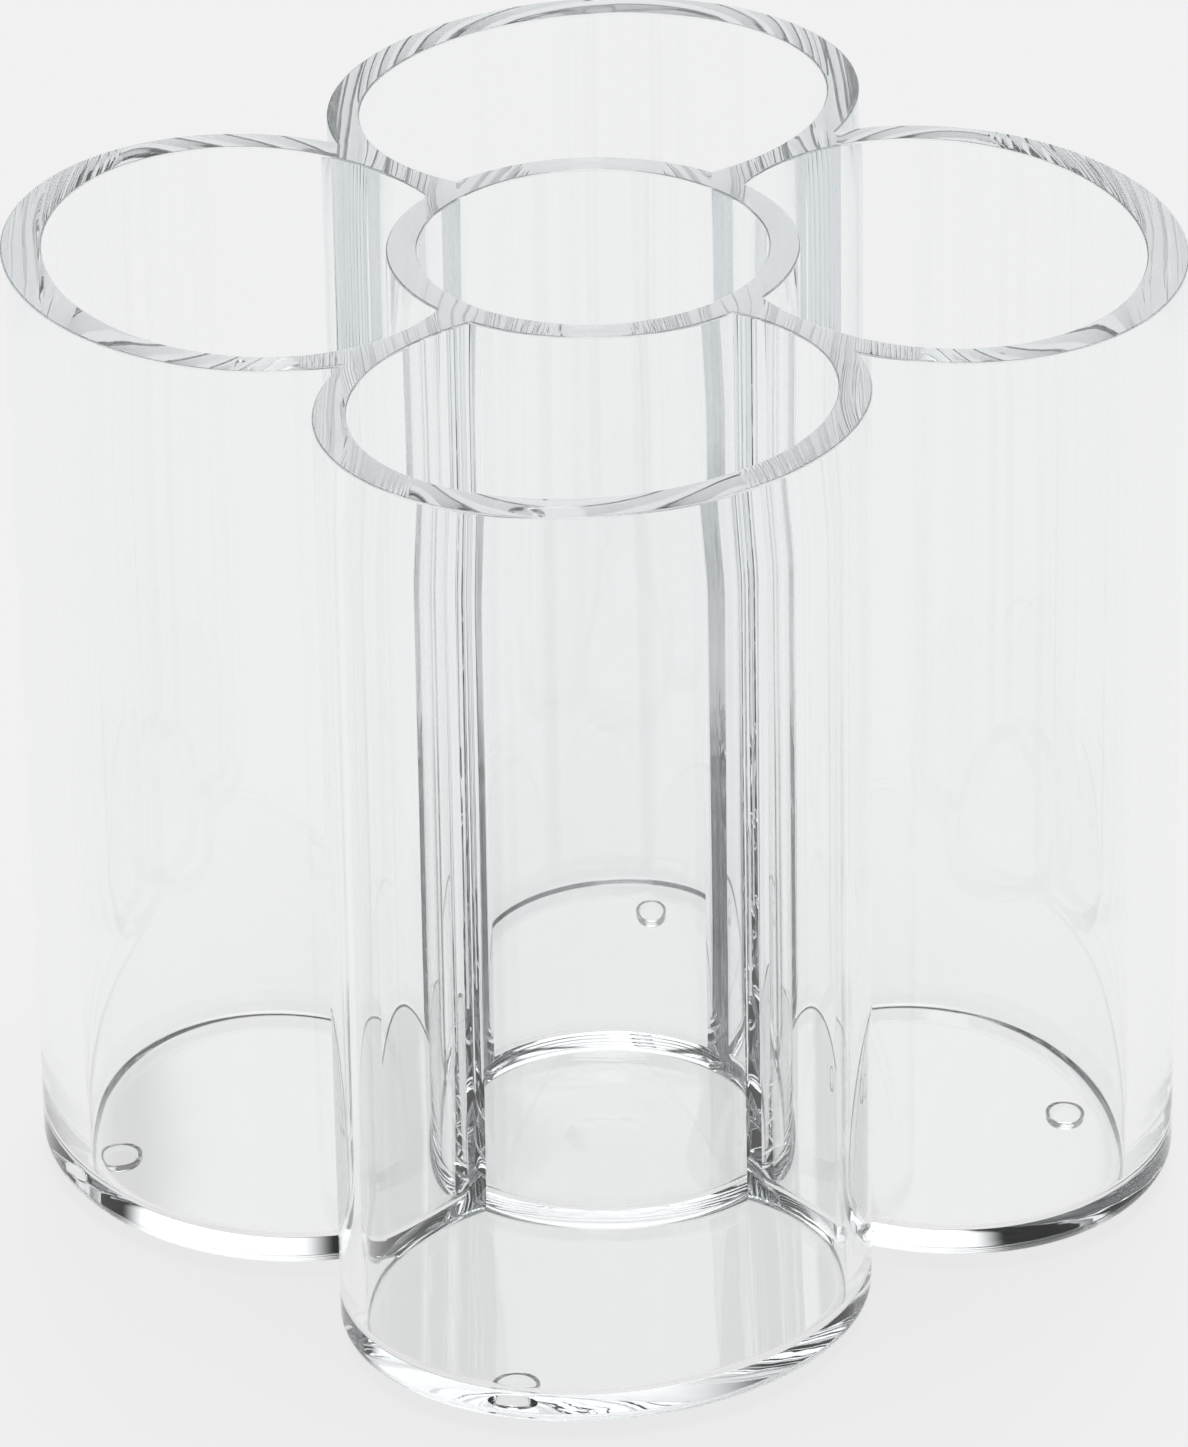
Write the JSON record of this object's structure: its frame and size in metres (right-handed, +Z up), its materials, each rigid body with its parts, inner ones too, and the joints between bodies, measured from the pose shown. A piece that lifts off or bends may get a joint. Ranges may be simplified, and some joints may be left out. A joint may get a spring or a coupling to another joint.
{
  "type": "pen holder cup",
  "caption": "Clear pen holder with a round middle cup ringed by larger oval cups, all open at the top, standing on small clear feet.",
  "frame": {"origin": "on the table, under the middle cup's axis", "axes": "+Z up along the cups' axes; the outer cups lie along +X (right), +Y (back), -X (left) and -Y (front)"},
  "size_m": [0.1148, 0.1148, 0.1],
  "materials": {
    "clear_body": "clear water-white plastic, polished, faintly cool where it is thick",
    "clear_feet": "clear plastic, moulded with the body"
  },
  "bodies": {
    "root": {"center_cup_wall": "clear_body", "center_cup_floor": "clear_body", "right_cup_wall": "clear_body", "right_cup_floor": "clear_body", "right_foot": "clear_feet", "back_cup_wall": "clear_body", "back_cup_floor": "clear_body", "back_foot": "clear_feet", "left_cup_wall": "clear_body", "left_cup_floor": "clear_body", "left_foot": "clear_feet", "front_cup_wall": "clear_body", "front_cup_floor": "clear_body", "front_foot": "clear_feet"}
  },
  "joints": []
}
